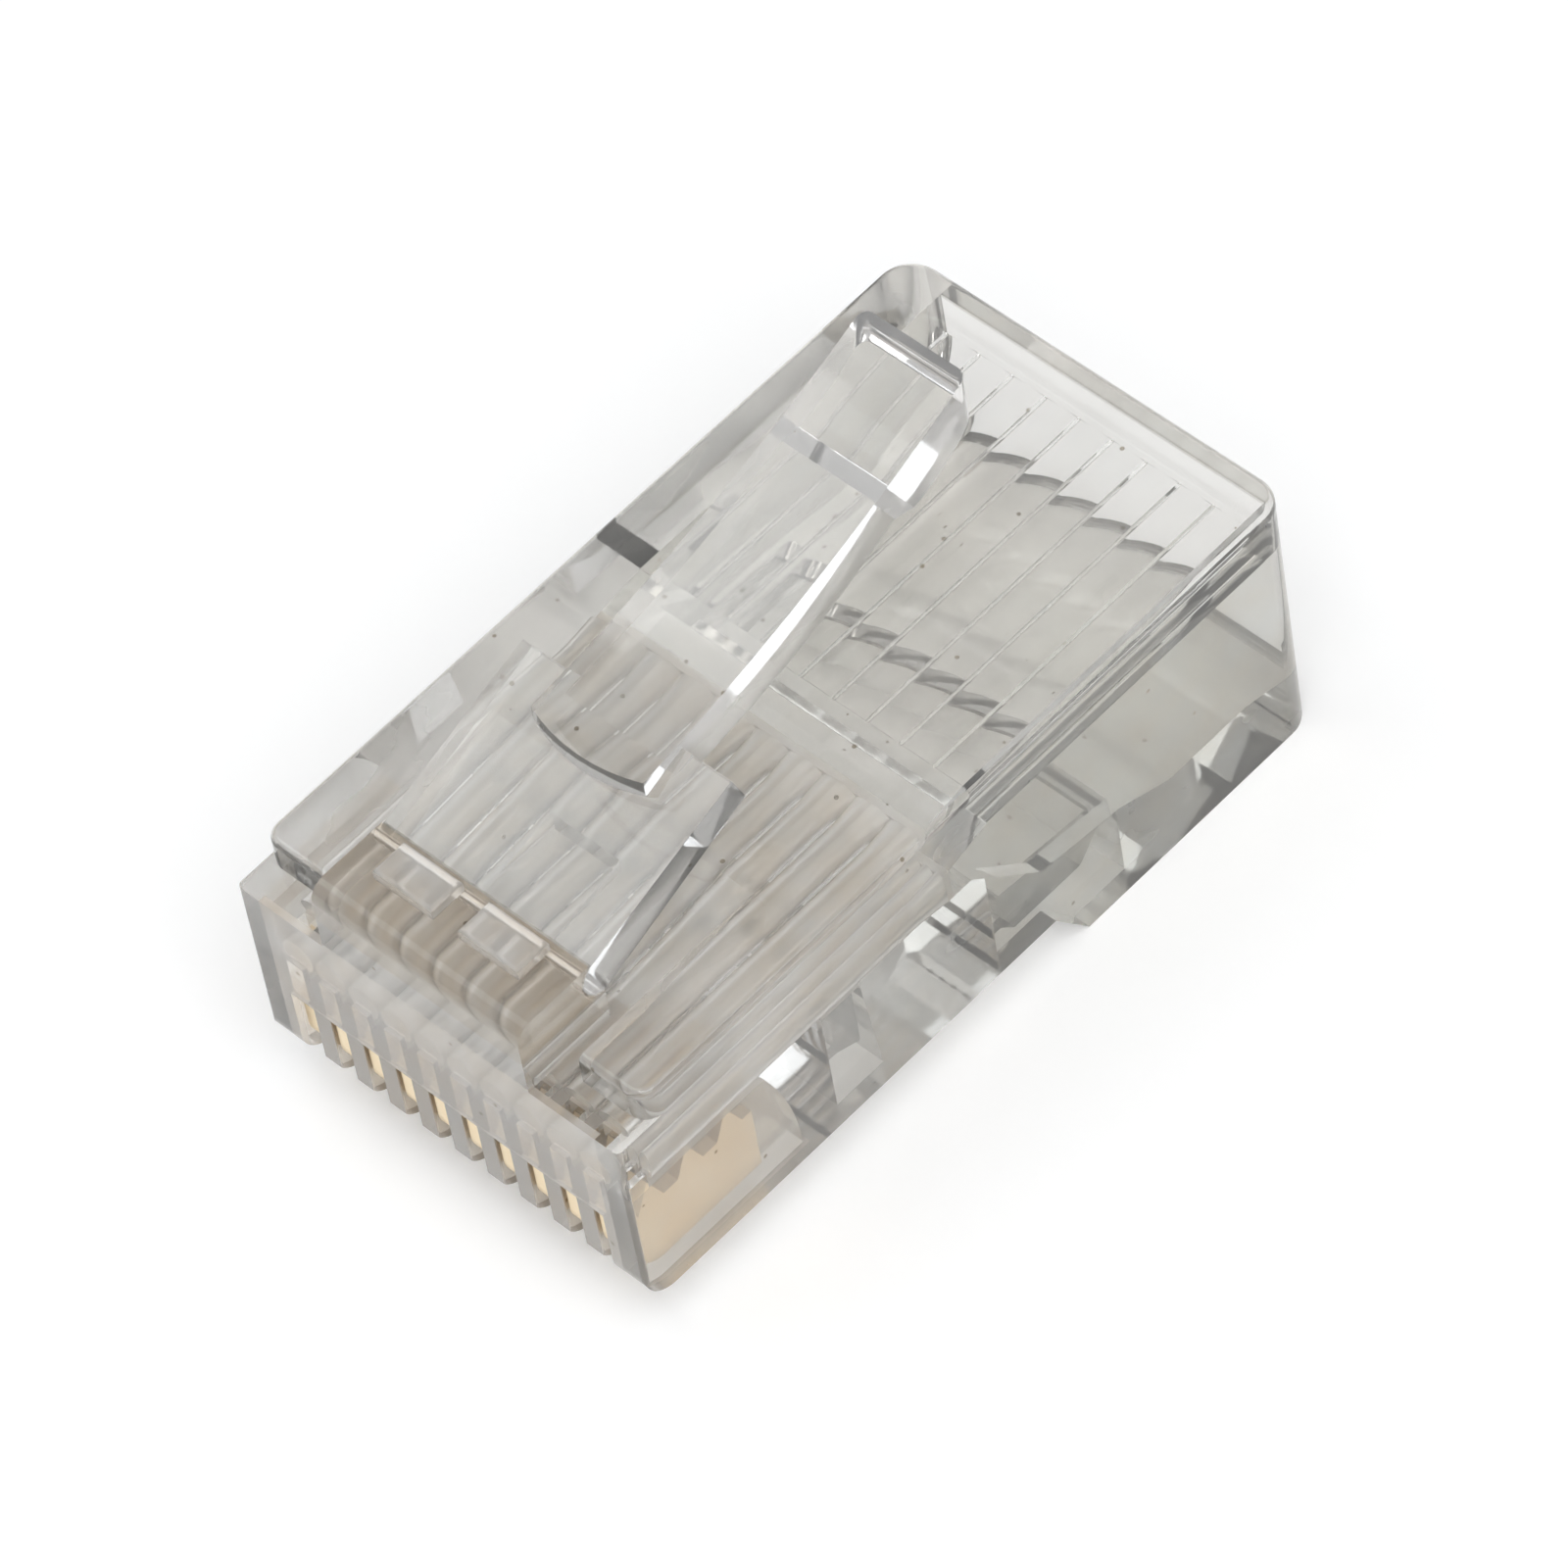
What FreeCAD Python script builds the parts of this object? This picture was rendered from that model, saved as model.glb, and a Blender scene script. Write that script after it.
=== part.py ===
"""Ten position modular plug as supplied, before a cable is crimped into it.

Pieces: the clear moulded housing, its latch (sprung at the nose) and ten blade contacts.

Frame at export: X across the width, Y along the length with the nose at -Y, Z up from the
underside of the rear block towards the latch, origin under the middle of the housing.
While the pieces are drawn, Y is counted from the face of the nose. All sizes are millimetres.
"""

import FreeCAD, Part
import math
import os

# Housing, outside
body_width = 11.68
body_length = 22.0
rail_top = 7.83             # top of the side rails above the underside of the rear block
nose_underside = 1.23       # underside of the nose above the underside of the rear block
step_start = 13.25          # where the underside starts to drop towards the rear block
step_run = 0.95             # length of the slope between the two levels of the underside
rear_corner_radius = 0.9
nose_corner_radius = 0.15
nose_lower_radius = 0.85
rear_lower_radius = 0.6

# Housing, latch side
rail_width = 1.94
rail_setback = 0.95         # nose face to the front ends of the rails
rail_corner_radius = 0.5    # outer front corner of each rail, in plan
rail_edge_radius = 0.2      # rounding along the outer top edge of the rails
recess_depth = 0.92         # recess between the rails, under the root of the latch
recess_ramp_start = 3.0     # where its floor starts to rise
recess_end = 6.5            # and where it reaches the top of the rails
recess_slot_width = 2.1     # the middle of the floor stays low for longer
recess_slot_end = 5.4

# Hinge block at the nose, and the two raised pads on it
strap_width = 6.3
block_rise = 1.2            # top of the hinge block above the rails
block_front_radius = 0.5
hinge_from_nose = 2.6
knuckle_radius = 0.55
knuckle_clearance = 0.05
pad_gap = 0.8
pad_width = 1.8
pad_length = 1.0
pad_from_nose = 1.1
pad_height = 0.35
pad_edge_radius = 0.1

# Latch
strap_angle = 19.6          # slope of the relaxed strap, degrees
shoulder_from_nose = 7.1
shoulder_thickness = 0.9
tab_root_width = 3.4
tab_tip_width = 3.1
tab_start = 5.55            # front end of the raised tab, on the strap
tab_front_bulge = 0.3       # how far that end is rounded forward in plan
tab_end = 16.9
tab_corner_radius = 0.28
tab_root_rise = 2.84        # top of the tab above the rails, at its front end
tab_tip_rise = 6.0          # and at its free end
tab_top_curl = 0.45         # how far the top of the tab hollows below a straight line
tab_under_rise = 1.73       # underside of the tab above the rails, inside the strap
tab_under_curl = 0.47
grip_length = 2.75          # thicker thumb end of the tab
grip_rise = 3.69            # underside above the rails, where the thumb end begins
grip_drop = 0.2             # the thumb end hangs this far below that
grip_slope = 0.6            # length of the step down to it
grip_round = 0.2
tip_thickness = 1.3

# Contact positions
positions = 10
pitch = 1.016
slot_width = 0.5
slot_clearance = 0.08       # between a slot and the blade in it, on each side
slot_front_rise = 2.5       # top of the open slots in the nose face above the underside
slot_front_wall = 0.4       # wall of the nose in front of the blades, above the open slots
slot_roof_end = 4.3         # rear end of the slots at the wire channels
slot_floor_end = 5.3        # and at the underside
slot_rear_bow = 0.25        # hollow of the curved rear end of the slots
face_recess = 0.15          # slotted part of the nose face behind the outer walls

# Contacts
contact_setback = 0.22
contact_length = 3.9
contact_recess = 0.45       # mating edge inside the underside of the nose
contact_corner_radius = 0.8
tine_count = 3
tine_height = 0.85
tine_base = 0.8
tine_end_margin = 0.3
tine_clearance = 0.1        # tips below the floor of the wire channels

# Wire channels and cable cavity
channel_diameter = 0.92
channel_roof_depth = 2.33   # top of the channels below the rail tops
channel_start = 1.0
channel_end = 10.5
entry_length = 0.9          # each channel widens towards the cavity, to take in its wire
entry_diameter = 1.12
cavity_width = 9.84
cavity_roof_depth = 1.9     # roof of the cavity below the rail tops
cavity_floor = 1.8          # above the underside of the rear block
funnel_length = 1.5         # slope of the roof between cavity and channels
ramp_start = 11.3
ramp_end = 13.3             # foot of the ramp that leads the wires up to the channels
ramp_end_rise = 0.95        # and its height above the cavity floor
sill_end = 17.5
sill_rise = 0.6
flare_length = 1.9
flare_drop = 0.45
flute_depth = 0.045         # very shallow round grooves in the roof, side by side behind the channels
flute_rear_margin = 0.75
ridge_width = 0.14          # fine ridges that part the grooves
ridge_height = 0.08

# Strain relief bars in their windows on the contact side
cable_window_start = 11.8
cable_window_end = 15.9
cable_window_width = 9.0
wire_window_start = 6.5
wire_window_length = 1.5
wire_window_width = 9.2
wire_window_lean = 0.3      # its rear wall leans this far towards the nose
bar_side_gap = 0.15
bar_front_gap = 0.35
bar_web = 0.4               # thickness of the web that holds each bar to its front wall
cable_bar_length = 3.3
cable_bar_top_fall = 0.35   # how much lower the rear edge of its top is than the front edge
cable_bar_heel = 0.45       # height of its blunt rear edge
wire_bar_length = 0.75
wire_bar_height = 2.1
wire_bar_bevel = 0.3
wire_bar_clearance = 0.12   # top of the wire bar below the channels

# Sizes that follow from the ones above
half_width = body_width / 2
recess_floor = rail_top - recess_depth
recess_width = body_width - 2 * rail_width
block_top = rail_top + block_rise
hinge_height = block_top - knuckle_radius
slope = math.radians(strap_angle)
channel_roof = rail_top - channel_roof_depth
channel_floor = channel_roof - channel_diameter
cavity_roof = rail_top - cavity_roof_depth
ramp_foot = cavity_floor + ramp_end_rise
slots_half_width = ((positions - 1) * pitch + slot_width) / 2
overcut = 1.0               # how far cutting shapes run past the face that they cut through
overlap = 0.3               # how far joined shapes run into each other


def vector(x, y, z):
    return FreeCAD.Vector(x, y, z)


def near(value, target):
    return abs(value - target) < 1e-6


def box(x_range, y_range, z_range):
    """Box between pairs of low and high values."""
    size = [high - low for low, high in (x_range, y_range, z_range)]
    return Part.makeBox(*size, vector(x_range[0], y_range[0], z_range[0]))


def edges_where(shape, test):
    """Edges whose two ends both pass a test of the point."""
    return [edge for edge in shape.Edges if all(test(vertex.Point) for vertex in edge.Vertexes)]


def line(start, end):
    """Straight edge in the side view, between (y, z) points."""
    return Part.LineSegment(vector(0, *start), vector(0, *end)).toShape()


def bowed(start, end, bow):
    """Round edge in the side view; its middle lies the bow to the right of the straight way."""
    run = end[0] - start[0]
    rise = end[1] - start[1]
    length = math.hypot(run, rise)
    middle = ((start[0] + end[0]) / 2 + bow * rise / length, (start[1] + end[1]) / 2 - bow * run / length)
    return Part.Arc(vector(0, *start), vector(0, *middle), vector(0, *end)).toShape()


def outline(corners):
    """Closed side view edges through (y, z) corners; a third value rounds that corner."""
    count = len(corners)
    ends = []
    for index, corner in enumerate(corners):
        here = vector(0, corner[0], corner[1])
        if len(corner) == 2:
            ends.append((here, here, here))
            continue
        back = (vector(0, *corners[index - 1][:2]) - here).normalize()
        onward = (vector(0, *corners[(index + 1) % count][:2]) - here).normalize()
        half_angle = back.getAngle(onward) / 2
        reach = corner[2] / math.tan(half_angle)
        cut_off = corner[2] / math.sin(half_angle) - corner[2]
        middle = here + (back + onward).normalize() * cut_off
        ends.append((here + back * reach, middle, here + onward * reach))
    edges = []
    for index, (start, middle, end) in enumerate(ends):
        if len(corners[index]) == 3:
            edges.append(Part.Arc(start, middle, end).toShape())
        edges.append(Part.LineSegment(end, ends[(index + 1) % count][0]).toShape())
    return edges


def across(edges, width, centre=0.0):
    """Extrude a closed side view outline to a width across X, about a centre."""
    face = Part.Face(Part.Wire(edges))
    face.translate(vector(centre - width / 2, 0, 0))
    return face.extrude(vector(width, 0, 0))


def cylinder_across(radius, width, y, z):
    """Cylinder along X about the middle of the housing."""
    return Part.makeCylinder(radius, width, vector(-width / 2, y, z), vector(1, 0, 0))


def position_centres():
    """X of each contact position, from one side to the other."""
    first = -(positions - 1) * pitch / 2
    return [first + index * pitch for index in range(positions)]


# Housing, outside

def plan_block(front, front_radius, low, high):
    """Block over the full width from a front face to the rear end, its upright edges rounded."""
    block = box((-half_width, half_width), (front, body_length), (low, high))
    for side in (-half_width, half_width):
        for y, radius in ((front, front_radius), (body_length, rear_corner_radius)):
            upright = edges_where(block, lambda p: near(p.x, side) and near(p.y, y))
            block = block.makeFillet(radius, upright)
    return block


def lower_block():
    """Nose and rear block with the stepped underside between them, up to the floor of the recess."""
    side_view = [
        (0, nose_underside, nose_lower_radius),
        (step_start, nose_underside),
        (step_start + step_run, 0),
        (body_length, 0, rear_lower_radius),
        (body_length, recess_floor),
        (0, recess_floor),
    ]
    return across(outline(side_view), body_width).common(plan_block(0, nose_corner_radius, 0, recess_floor))


def upper_block():
    """Upper part behind the nose, rounded along its top edge; the recess leaves a rail on each side."""
    block = plan_block(rail_setback, rail_corner_radius, recess_floor, rail_top)
    top_rim = edges_where(block, lambda p: near(p.z, rail_top) and not near(p.y, body_length))
    block = block.makeFillet(rail_edge_radius, top_rim)
    side_view = [
        (rail_setback - overcut, recess_floor - overcut),
        (recess_ramp_start, recess_floor - overcut),
        (recess_ramp_start, recess_floor),
        (recess_end, rail_top),
        (recess_end, rail_top + overcut),
        (rail_setback - overcut, rail_top + overcut),
    ]
    slot = box((-recess_slot_width / 2, recess_slot_width / 2), (recess_ramp_start, recess_slot_end),
               (recess_floor - overcut, rail_top))
    return block.cut([across(outline(side_view), recess_width), slot])


def pad(side):
    """Raised rectangular pad on top of the hinge block, its upper edges rounded."""
    centre = side * (pad_gap + pad_width) / 2
    shape = box((centre - pad_width / 2, centre + pad_width / 2),
                (pad_from_nose, pad_from_nose + pad_length),
                (block_top - overlap, block_top + pad_height))
    rim = edges_where(shape, lambda p: near(p.z, block_top + pad_height))
    return shape.makeFillet(pad_edge_radius, rim)


def hinge_block():
    """Block on the nose that the latch springs from, with its pads and the hollow seat of the knuckle."""
    side_view = [
        (0, recess_floor - overlap),
        (0, block_top, block_front_radius),
        (hinge_from_nose, block_top),
        (hinge_from_nose, recess_floor - overlap),
    ]
    block = across(outline(side_view), strap_width).fuse([pad(-1), pad(1)])
    seat = cylinder_across(knuckle_radius + knuckle_clearance, body_width, hinge_from_nose, hinge_height)
    return block.cut(seat)


# Housing, inside

def wire_channels():
    """One round channel per wire through the nose, each with a tapered entry."""
    radius = channel_diameter / 2
    channels = []
    for centre in position_centres():
        start = vector(centre, channel_start, channel_roof - radius)
        entry = vector(centre, channel_end - entry_length, channel_roof - radius)
        channels.append(Part.makeCylinder(radius, channel_end - channel_start, start, vector(0, 1, 0)))
        channels.append(Part.makeCone(radius, entry_diameter / 2, entry_length, entry, vector(0, 1, 0)))
    return channels


def flute_range():
    """Y range of the grooves and ridges in the roof of the cavity."""
    return (channel_end + funnel_length, body_length - flute_rear_margin)


def roof_flutes():
    """Shallow grooves along the roof of the cavity that lead each wire to its channel."""
    y_range = flute_range()
    # A groove is the cap of a large cylinder; it is as wide as the pitch where it leaves the roof.
    radius = (pitch ** 2 / 4 + flute_depth ** 2) / (2 * flute_depth)
    height = cavity_roof + flute_depth - radius
    caps = box((-cavity_width / 2, cavity_width / 2), y_range, (cavity_roof, cavity_roof + flute_depth))
    flutes = []
    for centre in position_centres():
        cylinder = Part.makeCylinder(radius, y_range[1] - y_range[0], vector(centre, y_range[0], height),
                                     vector(0, 1, 0))
        lane = box((centre - pitch / 2, centre + pitch / 2), y_range, (cavity_roof, rail_top))
        flutes.append(cylinder.common(lane).common(caps))
    return flutes


def roof_ridges():
    """Fine pointed ridges between the grooves, with the point down."""
    y_range = flute_range()
    ridges = []
    for centre in position_centres()[1:]:
        left = centre - (pitch + ridge_width) / 2
        base = cavity_roof + flute_depth
        corners = [(left, base), (left + ridge_width / 2, cavity_roof - ridge_height),
                   (left + ridge_width, base)]
        points = [vector(x, y_range[0], z) for x, z in corners]
        face = Part.Face(Part.makePolygon(points + points[:1]))
        ridges.append(face.extrude(vector(0, y_range[1] - y_range[0], 0)))
    return ridges


def cable_cavity():
    """Hollow for the cable: its floor falls away at the rear and ramps up to the wire channels in front."""
    side_view = [
        (channel_end, channel_roof),
        (channel_end, channel_floor),
        (ramp_start, channel_floor),
        (ramp_end, ramp_foot),
        (cable_window_end, cavity_floor + sill_rise),
        (sill_end, cavity_floor),
        (body_length - flare_length, cavity_floor),
        (body_length, cavity_floor - flare_drop),
        (body_length + overcut, cavity_floor - flare_drop),
        (body_length + overcut, cavity_roof + flute_depth),
        (body_length - flute_rear_margin, cavity_roof + flute_depth),
        (body_length - flute_rear_margin, cavity_roof),
        (channel_end + funnel_length, cavity_roof),
    ]
    return across(outline(side_view), cavity_width)


def contact_slots():
    """Slots for the blades, open at the underside and low in the nose face, closed by a hollow rear end."""
    front_top = nose_underside + slot_front_rise
    top = channel_floor + overlap
    roof_end = (slot_roof_end, top)
    floor_end = (slot_floor_end, nose_underside)
    path = [
        (slot_floor_end, nose_underside - overcut),
        (-overcut, nose_underside - overcut),
        (-overcut, front_top),
        (slot_front_wall, front_top),
        (slot_front_wall, top),
        roof_end,
    ]
    edges = [line(start, end) for start, end in zip(path, path[1:])]
    edges.append(bowed(roof_end, floor_end, -slot_rear_bow))
    edges.append(line(floor_end, path[0]))
    return [across(edges, slot_width, centre) for centre in position_centres()]


def nose_recess():
    """Shallow step in the face of the nose, across all the slots."""
    return box((-slots_half_width, slots_half_width), (-overcut, face_recess),
               (nose_underside - overcut, nose_underside + slot_front_rise))


def windows():
    """Windows on the contact side that let the two strain relief bars be pushed in."""
    cable = box((-cable_window_width / 2, cable_window_width / 2),
                (cable_window_start, cable_window_end), (-overcut, channel_floor))
    wire_window_end = wire_window_start + wire_window_length
    side_view = [
        (wire_window_start, nose_underside - overcut),
        (wire_window_end, nose_underside - overcut),
        (wire_window_end, nose_underside),
        (wire_window_end - wire_window_lean, channel_floor + overlap),
        (wire_window_start, channel_floor + overlap),
    ]
    return [cable, across(outline(side_view), wire_window_width)]


def bar(corners, width, window_start, web_foot):
    """Strain relief bar across its window, with the web that holds it to the window's front wall."""
    front = window_start + bar_front_gap
    web = box((-width / 2, width / 2), (window_start - overlap, front + overlap),
              (web_foot, web_foot + bar_web))
    return across(outline(corners), width).fuse(web)


def cable_bar():
    """Wedge that grips the jacket of the cable; its top carries on the floor behind the ramp."""
    front = cable_window_start + bar_front_gap
    rear = front + cable_bar_length
    rear_top = ramp_foot - cable_bar_top_fall
    bevel = rear_top - cable_bar_heel - nose_underside
    wedge = [
        (front, ramp_foot),
        (rear, rear_top),
        (rear, rear_top - cable_bar_heel),
        (rear - bevel, nose_underside),
        (front + bar_web, nose_underside),
        (front, nose_underside + bar_web),
    ]
    return bar(wedge, cable_window_width - 2 * bar_side_gap, cable_window_start,
               nose_underside + bar_web)


def wire_bar():
    """Bar that grips the ten wires just behind the contacts."""
    top = channel_floor - wire_bar_clearance
    low = top - wire_bar_height
    front = wire_window_start + bar_front_gap
    rear = front + wire_bar_length
    section = [
        (front, top - wire_bar_bevel),
        (front + wire_bar_bevel, top),
        (rear, top),
        (rear, low),
        (front, low + wire_bar_bevel),
    ]
    return bar(section, wire_window_width - 2 * bar_side_gap, wire_window_start, low + wire_bar_bevel)


def housing():
    body = lower_block().fuse([upper_block(), hinge_block()]).removeSplitter()
    body = body.cut([cable_cavity(), nose_recess()] + wire_channels() + roof_flutes())
    body = body.cut(contact_slots() + windows())
    return body.fuse([cable_bar(), wire_bar()] + roof_ridges()).removeSplitter()


# Latch

def strap_point(distance, depth):
    """Point of the strap in the side view: along its slope from the hinge, below its top surface."""
    above = knuckle_radius - depth
    y = hinge_from_nose + distance * math.cos(slope) - above * math.sin(slope)
    z = hinge_height + distance * math.sin(slope) + above * math.cos(slope)
    return (y, z)


def strap():
    """Wide sprung part of the latch: round at the hinge, square at the shoulders that hook in a jack."""
    length = (shoulder_from_nose - strap_point(0, 0)[0]) / math.cos(slope)
    root_top = strap_point(0, 0)
    root_low = strap_point(0, 2 * knuckle_radius)
    shoulder_top = strap_point(length, 0)
    shoulder_low = strap_point(length, shoulder_thickness)
    edges = [
        bowed(root_top, root_low, knuckle_radius),
        line(root_low, shoulder_low),
        line(shoulder_low, shoulder_top),
        line(shoulder_top, root_top),
    ]
    return across(edges, strap_width)


def tab_side_view():
    """The tab rises gently from the strap, curls up and ends in a thicker thumb grip."""
    front_top = (tab_start, rail_top + tab_root_rise)
    tip_top = (tab_end, rail_top + tab_tip_rise)
    tip_low = (tab_end, rail_top + tab_tip_rise - tip_thickness)
    grip_start = (tab_end - grip_length, rail_top + grip_rise)
    grip_low = (grip_start[0] + grip_slope, grip_start[1] - grip_drop)
    front_low = (tab_start, rail_top + tab_under_rise)
    return [
        bowed(front_top, tip_top, tab_top_curl),
        line(tip_top, tip_low),
        bowed(tip_low, grip_low, -grip_round),
        line(grip_low, grip_start),
        bowed(grip_start, front_low, -tab_under_curl),
        line(front_low, front_top),
    ]


def tab_plan():
    """Plan of the tab as an upright prism: round in front, tapered, with rounded corners at its end."""
    root = tab_root_width / 2
    tip = tab_tip_width / 2
    side_start = tab_start + tab_front_bulge
    left = vector(-root, side_start, 0)
    right = vector(root, side_start, 0)
    right_end = vector(tip, tab_end, 0)
    left_end = vector(-tip, tab_end, 0)
    edges = [
        Part.Arc(left, vector(0, tab_start, 0), right).toShape(),
        Part.LineSegment(right, right_end).toShape(),
        Part.LineSegment(right_end, left_end).toShape(),
        Part.LineSegment(left_end, left).toShape(),
    ]
    prism = Part.Face(Part.Wire(edges)).extrude(vector(0, 0, block_top + tab_tip_rise))
    for side in (-tip, tip):
        upright = edges_where(prism, lambda p: near(p.x, side) and near(p.y, tab_end))
        prism = prism.makeFillet(tab_corner_radius, upright)
    return prism


def latch():
    tab = across(tab_side_view(), tab_root_width).common(tab_plan())
    return strap().fuse(tab).removeSplitter()


# Contacts

def contact(centre):
    """Blade with a rounded mating corner at the nose and sharp tines under its wire channel."""
    low = nose_underside + contact_recess
    tip_height = channel_floor - tine_clearance
    high = tip_height - tine_height
    front = contact_setback
    rear = front + contact_length
    corners = [(rear, low), (front, low, contact_corner_radius), (front, high)]
    spacing = (contact_length - 2 * tine_end_margin - tine_base) / (tine_count - 1)
    for index in range(tine_count):
        foot = front + tine_end_margin + index * spacing
        corners += [(foot, high), (foot + tine_base / 2, tip_height), (foot + tine_base, high)]
    corners.append((rear, high))
    return across(outline(corners), slot_width - 2 * slot_clearance, centre)


def export(node, shape):
    """Write one piece, moved so that the middle of the housing is over the origin."""
    shape.translate(vector(0, -body_length / 2, 0))
    shape.exportStep(os.path.join("parts", node + ".step"))


os.makedirs("parts", exist_ok=True)
export("housing", housing())
export("latch", latch())
for number, centre in enumerate(position_centres(), start=1):
    export("contact_%d" % number, contact(centre))
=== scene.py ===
"""Looks of the ten position modular plug: clear moulded plastic and gold plated contacts, on a pale floor."""

import bpy
import math
from mathutils import Matrix, Vector


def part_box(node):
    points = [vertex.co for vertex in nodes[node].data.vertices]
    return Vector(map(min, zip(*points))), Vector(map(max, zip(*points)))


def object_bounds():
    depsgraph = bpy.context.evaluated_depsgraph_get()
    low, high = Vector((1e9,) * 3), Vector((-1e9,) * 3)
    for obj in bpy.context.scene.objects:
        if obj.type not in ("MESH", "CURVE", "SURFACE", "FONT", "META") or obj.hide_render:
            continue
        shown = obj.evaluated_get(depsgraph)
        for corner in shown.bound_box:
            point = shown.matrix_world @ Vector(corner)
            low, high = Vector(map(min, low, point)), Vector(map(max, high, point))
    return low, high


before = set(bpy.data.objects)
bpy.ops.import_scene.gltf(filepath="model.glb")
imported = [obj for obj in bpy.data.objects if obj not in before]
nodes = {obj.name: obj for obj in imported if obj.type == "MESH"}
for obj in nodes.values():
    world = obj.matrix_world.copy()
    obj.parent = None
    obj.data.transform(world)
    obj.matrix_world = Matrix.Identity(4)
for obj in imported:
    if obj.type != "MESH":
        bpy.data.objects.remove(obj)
cad_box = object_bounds()
scene = bpy.context.scene
mm = 0.001

# Camera: a long lens from above the nose's right side, rolled a little.
view_azimuth = math.radians(51.74)
view_elevation = math.radians(52.29)
view_roll = math.radians(-10.88)
view_distance = 241.7 * mm
view_aim = Vector((0.29, -0.24, 4.38)) * mm
focal_length = 249.1
sensor_width = 36.0
nearest_seen = 10 * mm

# Plastic: scales are in cycles per millimetre, depths and sizes in millimetres.
housing_tint = (0.935, 0.92, 0.895)
latch_tint = (0.935, 0.92, 0.90)
plastic_index = 1.585
blotch_scale = 0.35
skin_roughness = (0.015, 0.05)  # in the smoothest and the dullest blotches
cloud_scale = 0.3
cloud_tint = (0.97, 0.983, 0.985)
haze = (0.01, 0.15)  # in the clearest and the milkiest clouds
mottle_scale = 0.8
mottle_tint = (0.94, 0.88, 0.80)
speck_spacing = 1.2
speck_size = 0.06
speck_tint = (0.30, 0.25, 0.18)
wave_scale = 0.22
wave_depth = 0.004
wave_strength = 0.5

# Skins of the housing's regions: tint, roughness and haze. The darker tints on the sides and at the rear are
# painted shade.
wire_skin = ((0.99, 0.972, 0.945), 0.25, 0.42)
slot_skin = ((0.92, 0.88, 0.82), 0.15, 0.2)
face_skin = ((0.91, 0.88, 0.84), 0.18, 0.32)
block_skin = ((0.86, 0.81, 0.735), 0.12, 0.15)
pad_skin = ((0.93, 0.92, 0.90), 0.1, 0.3)
# Painted shade: the side walls darker than the top, because of how the light falls on them.
side_painted_shade = ((0.52, 0.525, 0.495), 0.05, 0.05)
# Painted shade: the rear end and its corners darker.
rear_painted_shade = ((0.5, 0.5, 0.48), 0.05, 0.05)

# Places of those regions in millimetres: a run is measured along from the nose, a height up from the base.
channel_margin = 0.4  # from the outer contacts to the sides of the channels and slots
channel_run = (0.9, 10.7)
channel_rise = 1.3  # from the contacts' tops
slot_overlap = 0.1  # of the channels' region, below the contacts' tops
slot_run = (0.2, 5.4)
slot_floor = 1.0
face_run = (-0.1, 0.19)
face_top = 7.0
block_half_width = 3.3
block_run = (-0.1, 2.3)
block_height = (7.9, 9.5)
pads_half_width = 2.3
pads_run = (1.0, 2.2)
pads_height = (9.05, 9.6)
# Painted shade on the sides starts this far back, fades in over this length and reaches this height.
side_shade_start = 4.0
side_shade_fade = 8.0
side_shade_top = 7.65
# Height of the painted shade on the rear end, and size of the shaded rear corners.
rear_shade_top = 9.0
shade_corner_size = 0.85
# Thickness of the painted shade's skin.
shade_skin_depth = 0.05  # to both sides of a flat outer face

# Metal
gold_colour = (0.88, 0.74, 0.52)
gold_roughness = (0.3, 0.45)
grain_scale = 6.0
grain_stretch = (1, 1, 0.15)
grain_depth = 0.004

# Light: lamps are name, compass direction and height in degrees, side, power and colour.
floor_colour = (0.93, 0.93, 0.93)
floor_lift = 0.155
floor_reach = 3.0
floor_gap = 0.01 * mm
sky_strength = 0.62
lamp_distance = 0.6
lamps = [
    ("key", 60, 60, 0.5, 1.75, (1, 1, 1)),
    ("spark", 20, 70, 0.1, 0.1, (1, 1, 1)),
    ("fill", -60, 65, 0.35, 0.45, (0.9, 0.95, 1)),
]


def new_material(name):
    """Empty node material; returns it with its node tree and its output node."""
    material = bpy.data.materials.new(name)
    material.use_nodes = True
    tree = material.node_tree
    tree.nodes.clear()
    output = tree.nodes.new("ShaderNodeOutputMaterial")
    return material, tree, output


def feed(tree, socket, value):
    """Link a node's output into a socket, or set the socket to a number, a vector or a colour."""
    if isinstance(value, bpy.types.NodeSocket):
        tree.links.new(value, socket)
    elif socket.type == "RGBA":
        socket.default_value = (*value, 1)
    else:
        socket.default_value = value


def shaded(colour, shade):
    """A colour times another, part by part."""
    return [part * other for part, other in zip(colour, shade)]


def noise(tree, coordinates, scale, detail=3.0, stretch=(1, 1, 1)):
    """Noise over object coordinates, in cycles per millimetre, stretched along an axis if asked."""
    mapping = tree.nodes.new("ShaderNodeMapping")
    mapping.inputs["Scale"].default_value = [scale / mm * part for part in stretch]
    tree.links.new(coordinates.outputs["Object"], mapping.inputs["Vector"])
    texture = tree.nodes.new("ShaderNodeTexNoise")
    texture.inputs["Scale"].default_value = 1.0
    texture.inputs["Detail"].default_value = detail
    tree.links.new(mapping.outputs["Vector"], texture.inputs["Vector"])
    return texture.outputs["Fac"]


def remap(tree, value, low, high):
    """Spread a noise, which stays mostly between 0.3 and 0.7, between two limits."""
    node = tree.nodes.new("ShaderNodeMapRange")
    node.inputs["From Min"].default_value = 0.3
    node.inputs["From Max"].default_value = 0.7
    node.inputs["To Min"].default_value = low
    node.inputs["To Max"].default_value = high
    tree.links.new(value, node.inputs["Value"])
    return node.outputs["Result"]


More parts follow.
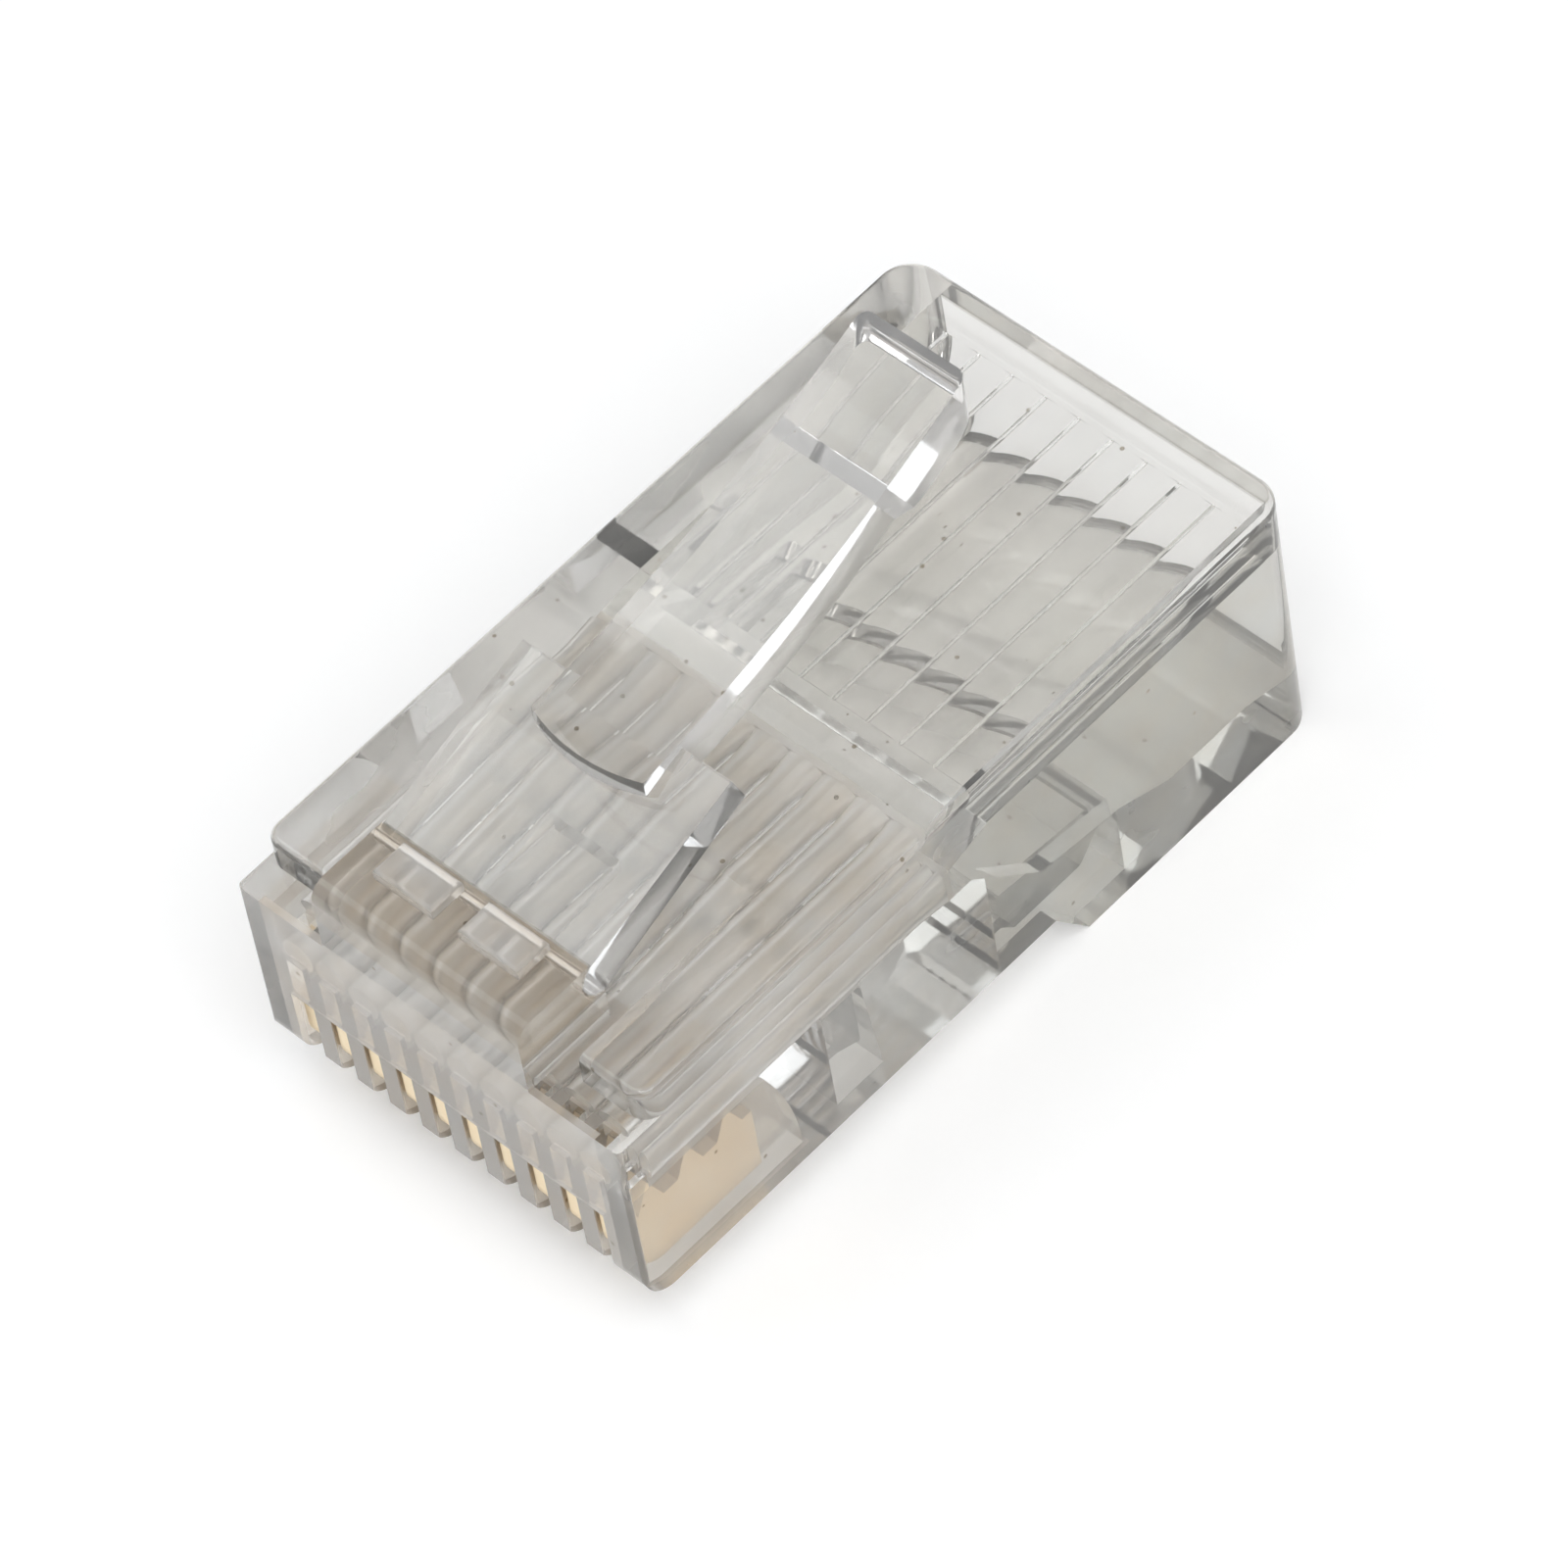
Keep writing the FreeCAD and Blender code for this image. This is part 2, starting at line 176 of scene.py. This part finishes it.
def bump(tree, height, depth, strength=1.0):
    """Normal of a surface that a height between 0 and 1 raises by a depth in millimetres."""
    node = tree.nodes.new("ShaderNodeBump")
    node.inputs["Distance"].default_value = depth * mm
    node.inputs["Strength"].default_value = strength
    tree.links.new(height, node.inputs["Height"])
    return node.outputs["Normal"]


def vector_math(tree, operation, first, second):
    """Result of one operation on two vectors, each an output or a constant."""
    node = tree.nodes.new("ShaderNodeVectorMath")
    node.operation = operation
    feed(tree, node.inputs[0], first)
    feed(tree, node.inputs[1], second)
    return node.outputs["Vector"]


def number_math(tree, operation, first, second):
    """Result of one operation on two numbers, each an output or a constant."""
    node = tree.nodes.new("ShaderNodeMath")
    node.operation = operation
    feed(tree, node.inputs[0], first)
    feed(tree, node.inputs[1], second)
    return node.outputs["Value"]


def mixed_numbers(tree, factor, first, second):
    """The first number where the factor is nought, the second where it is one."""
    node = tree.nodes.new("ShaderNodeMix")
    feed(tree, node.inputs["Factor"], factor)
    feed(tree, node.inputs["A"], first)
    feed(tree, node.inputs["B"], second)
    return node.outputs["Result"]


def mixed_colours(tree, factor, first, second):
    """The first colour where the factor is nought, the second where it is one."""
    node = tree.nodes.new("ShaderNodeMixRGB")
    feed(tree, node.inputs["Fac"], factor)
    feed(tree, node.inputs["Color1"], first)
    feed(tree, node.inputs["Color2"], second)
    return node.outputs["Color"]


def inside(tree, coordinates, corners, fade):
    """One inside a box and nought outside it; it may fade in along Y, over a length in millimetres."""
    low, high = corners
    place = coordinates.outputs["Object"]
    centred = vector_math(tree, "SUBTRACT", place, (low + high) / 2)
    scaled = vector_math(tree, "DIVIDE", centred, (high - low) / 2)
    parts = tree.nodes.new("ShaderNodeSeparateXYZ")
    tree.links.new(vector_math(tree, "ABSOLUTE", scaled, (0, 0, 0)), parts.inputs["Vector"])
    furthest = number_math(tree, "MAXIMUM", parts.outputs["X"], parts.outputs["Y"])
    furthest = number_math(tree, "MAXIMUM", furthest, parts.outputs["Z"])
    mask = number_math(tree, "LESS_THAN", furthest, 1.0)
    if fade:
        axes = tree.nodes.new("ShaderNodeSeparateXYZ")
        tree.links.new(place, axes.inputs["Vector"])
        ramp = tree.nodes.new("ShaderNodeMapRange")
        ramp.inputs["From Min"].default_value = low.y
        ramp.inputs["From Max"].default_value = low.y + fade * mm
        tree.links.new(axes.outputs["Y"], ramp.inputs["Value"])
        mask = number_math(tree, "MULTIPLY", mask, ramp.outputs["Result"])
    return mask


def specks(tree, coordinates):
    """One in small scattered grains of dirt, nought elsewhere."""
    cells = tree.nodes.new("ShaderNodeTexVoronoi")
    cells.inputs["Scale"].default_value = 1 / (speck_spacing * mm)
    tree.links.new(coordinates.outputs["Object"], cells.inputs["Vector"])
    return number_math(tree, "LESS_THAN", cells.outputs["Distance"], speck_size / speck_spacing)


def clear_plastic(name, tint, regions):
    """Clear polycarbonate, wavy as moulded, with another tint, roughness and haze in some regions; the darker
    tint of some regions is painted shade.
    """
    material, tree, output = new_material(name)
    shader = tree.nodes.new("ShaderNodeBsdfPrincipled")
    shader.inputs["IOR"].default_value = plastic_index
    coordinates = tree.nodes.new("ShaderNodeTexCoord")
    blotches = noise(tree, coordinates, blotch_scale)
    clouds = noise(tree, coordinates, cloud_scale, detail=2.0)
    mottle = remap(tree, noise(tree, coordinates, mottle_scale, detail=4.0), 0.0, 1.0)
    waves = noise(tree, coordinates, wave_scale, detail=1.0)

    colour = mixed_colours(tree, remap(tree, clouds, 1.0, 0.0), tint, shaded(tint, cloud_tint))
    roughness = remap(tree, blotches, *skin_roughness)
    clearness = remap(tree, clouds, 1 - haze[0], 1 - haze[1])
    for corners, fade, (region_colour, region_roughness, region_haze) in regions:
        mask = inside(tree, coordinates, corners, fade)
        # The region's colour under a random mottle; on the sides and at the rear this colour is painted
        # shade.
        mottled_colour_or_shade = mixed_colours(tree, mottle, region_colour, shaded(region_colour, mottle_tint))
        colour = mixed_colours(tree, mask, colour, mottled_colour_or_shade)
        roughness = mixed_numbers(tree, mask, roughness, region_roughness)
        clearness = mixed_numbers(tree, mask, clearness, 1 - region_haze)
    colour = mixed_colours(tree, specks(tree, coordinates), colour, speck_tint)

    tree.links.new(colour, shader.inputs["Base Color"])
    tree.links.new(roughness, shader.inputs["Roughness"])
    tree.links.new(clearness, shader.inputs["Transmission Weight"])
    tree.links.new(bump(tree, waves, wave_depth, wave_strength), shader.inputs["Normal"])
    tree.links.new(shader.outputs["BSDF"], output.inputs["Surface"])
    return material


def gold_plate(name):
    """Gold plating over sheared strip: fine lines along the height of the blade."""
    material, tree, output = new_material(name)
    shader = tree.nodes.new("ShaderNodeBsdfPrincipled")
    shader.inputs["Base Color"].default_value = (*gold_colour, 1)
    shader.inputs["Metallic"].default_value = 1.0
    coordinates = tree.nodes.new("ShaderNodeTexCoord")
    grain = noise(tree, coordinates, grain_scale, stretch=grain_stretch)
    tree.links.new(remap(tree, grain, *gold_roughness), shader.inputs["Roughness"])
    tree.links.new(bump(tree, grain, grain_depth), shader.inputs["Normal"])
    tree.links.new(shader.outputs["BSDF"], output.inputs["Surface"])
    return material


def housing_regions():
    """Regions of the housing whose skin differs, each as its corners, its fade and its skin; on the sides,
    the rear corners and the rear end that skin is painted shade.
    """
    (left, nose), (right, tail) = cad_box[0][:2], cad_box[1][:2]
    left, right, length = left / mm, right / mm, (tail - nose) / mm
    last_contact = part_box("contact_10")
    slots_side = last_contact[1][0] / mm + channel_margin
    blade_top = last_contact[1][2] / mm

    def box(across, run, height):
        """Low and high corner in metres of a box given by its three spans in millimetres."""
        return [Vector((x * mm, nose + y * mm, z * mm)) for x, y, z in zip(across, run, height)]

    slots_width = (-slots_side, slots_side)
    channels = box(slots_width, channel_run, (blade_top - slot_overlap, blade_top + channel_rise))
    slots = box(slots_width, slot_run, (slot_floor, blade_top - slot_overlap))
    face = box(slots_width, face_run, (slot_floor, face_top))
    block = box((-block_half_width, block_half_width), block_run, block_height)
    pads = box((-pads_half_width, pads_half_width), pads_run, pads_height)
    side_shade_run = (side_shade_start, length + shade_skin_depth)
    corner_shade_run = (length - shade_corner_size, length + shade_skin_depth)
    rear_shade_run = (length - shade_skin_depth, length + shade_skin_depth)
    side_shade_height = (-shade_skin_depth, side_shade_top)
    left_side_shade = box((left - shade_skin_depth, left + shade_skin_depth), side_shade_run, side_shade_height)
    right_side_shade = box((right - shade_skin_depth, right + shade_skin_depth), side_shade_run, side_shade_height)
    left_corner_shade = box((left - shade_skin_depth, left + shade_corner_size), corner_shade_run, side_shade_height)
    right_corner_shade = box((right - shade_corner_size, right + shade_skin_depth), corner_shade_run, side_shade_height)
    rear_face_shade = box((left - shade_skin_depth, right + shade_skin_depth), rear_shade_run, (-shade_skin_depth, rear_shade_top))
    return [
        (channels, 0, wire_skin),
        (slots, 0, slot_skin),
        (face, 0, face_skin),
        (block, 0, block_skin),
        (pads, 0, pad_skin),
        # Painted shade: the side walls darkened, fading in from the front over the fade length.
        (left_side_shade, side_shade_fade, side_painted_shade),
        (right_side_shade, side_shade_fade, side_painted_shade),
        # Painted shade: the rear corners and the rear end darkened.
        (left_corner_shade, 0, rear_painted_shade),
        (right_corner_shade, 0, rear_painted_shade),
        (rear_face_shade, 0, rear_painted_shade),
    ]


def dress(node_object, material):
    """Put one material in all of an object's slots."""
    for slot in node_object.material_slots:
        slot.material = material


def seen_directly(tree):
    """One for camera, mirror and glass rays, nought for the rays that only gather light."""
    path = tree.nodes.new("ShaderNodeLightPath")
    total = path.outputs["Is Camera Ray"]
    for kind in ("Is Glossy Ray", "Is Transmission Ray"):
        total = number_math(tree, "MAXIMUM", total, path.outputs[kind])
    return total


def floor_material():
    """Pale floor that keeps the plug's soft shadow; a small lift makes it white where it is looked at."""
    material, tree, output = new_material("floor")
    diffuse = tree.nodes.new("ShaderNodeBsdfDiffuse")
    diffuse.inputs["Color"].default_value = (*floor_colour, 1)
    glow = tree.nodes.new("ShaderNodeEmission")
    lift = number_math(tree, "MULTIPLY", seen_directly(tree), floor_lift)
    tree.links.new(lift, glow.inputs["Strength"])
    both = tree.nodes.new("ShaderNodeAddShader")
    tree.links.new(diffuse.outputs["BSDF"], both.inputs[0])
    tree.links.new(glow.outputs["Emission"], both.inputs[1])
    tree.links.new(both.outputs["Shader"], output.inputs["Surface"])
    return material


def add_floor():
    """Square floor just under the plug."""
    mesh = bpy.data.meshes.new("floor")
    reach = floor_reach
    corners = [(-reach, -reach, 0), (reach, -reach, 0), (reach, reach, 0), (-reach, reach, 0)]
    mesh.from_pydata(corners, [], [(0, 1, 2, 3)])
    floor = bpy.data.objects.new("floor", mesh)
    scene.collection.objects.link(floor)
    floor.location.z = -floor_gap
    mesh.materials.append(floor_material())


def direction(azimuth, elevation):
    """Unit vector towards an azimuth, counted from -Y towards +X, and a height above the floor."""
    level = math.cos(elevation)
    return Vector((math.sin(azimuth) * level, -math.cos(azimuth) * level, math.sin(elevation)))


def add_camera():
    """Camera that looks at the aim point from the view's direction, turned by its roll."""
    back = direction(view_azimuth, view_elevation)
    level = Vector((math.cos(view_azimuth), math.sin(view_azimuth), 0))
    upward = back.cross(level)
    right = level * math.cos(view_roll) + upward * math.sin(view_roll)
    top = upward * math.cos(view_roll) - level * math.sin(view_roll)
    data = bpy.data.cameras.new("camera")
    data.lens = focal_length
    data.sensor_width = sensor_width
    data.clip_start = nearest_seen
    camera = bpy.data.objects.new("camera", data)
    turn = Matrix((right, top, back)).transposed().to_4x4()
    camera.matrix_world = Matrix.Translation(view_aim + back * view_distance) @ turn
    scene.collection.objects.link(camera)
    scene.camera = camera


def add_softbox(name, azimuth, elevation, size, power, colour):
    """Square lamp that faces the plug."""
    away = direction(math.radians(azimuth), math.radians(elevation))
    data = bpy.data.lights.new(name, "AREA")
    data.shape = "SQUARE"
    data.size = size
    data.energy = power
    data.color = colour
    lamp = bpy.data.objects.new(name, data)
    lamp.location = away * lamp_distance
    lamp.rotation_euler = away.to_track_quat("Z", "Y").to_euler()
    scene.collection.objects.link(lamp)


def add_world():
    """Light tent of one even grey."""
    world = bpy.data.worlds.new("studio")
    scene.world = world
    world.use_nodes = True
    tree = world.node_tree
    tree.nodes.clear()
    output = tree.nodes.new("ShaderNodeOutputWorld")
    light = tree.nodes.new("ShaderNodeBackground")
    light.inputs["Strength"].default_value = sky_strength
    tree.links.new(light.outputs["Background"], output.inputs["Surface"])


dress(nodes["housing"], clear_plastic("housing_plastic", housing_tint, housing_regions()))
dress(nodes["latch"], clear_plastic("latch_plastic", latch_tint, []))
gold = gold_plate("contact_gold")
for name, node_object in nodes.items():
    if name.startswith("contact_"):
        dress(node_object, gold)

add_floor()
add_camera()
add_world()
for lamp in lamps:
    add_softbox(*lamp)
scene.view_settings.view_transform = "Standard"
scene.cycles.max_bounces = 14
scene.cycles.transmission_bounces = 14
scene.cycles.glossy_bounces = 4
scene.cycles.diffuse_bounces = 2
scene.cycles.transparent_max_bounces = 16
scene.cycles.blur_glossy = 0.0
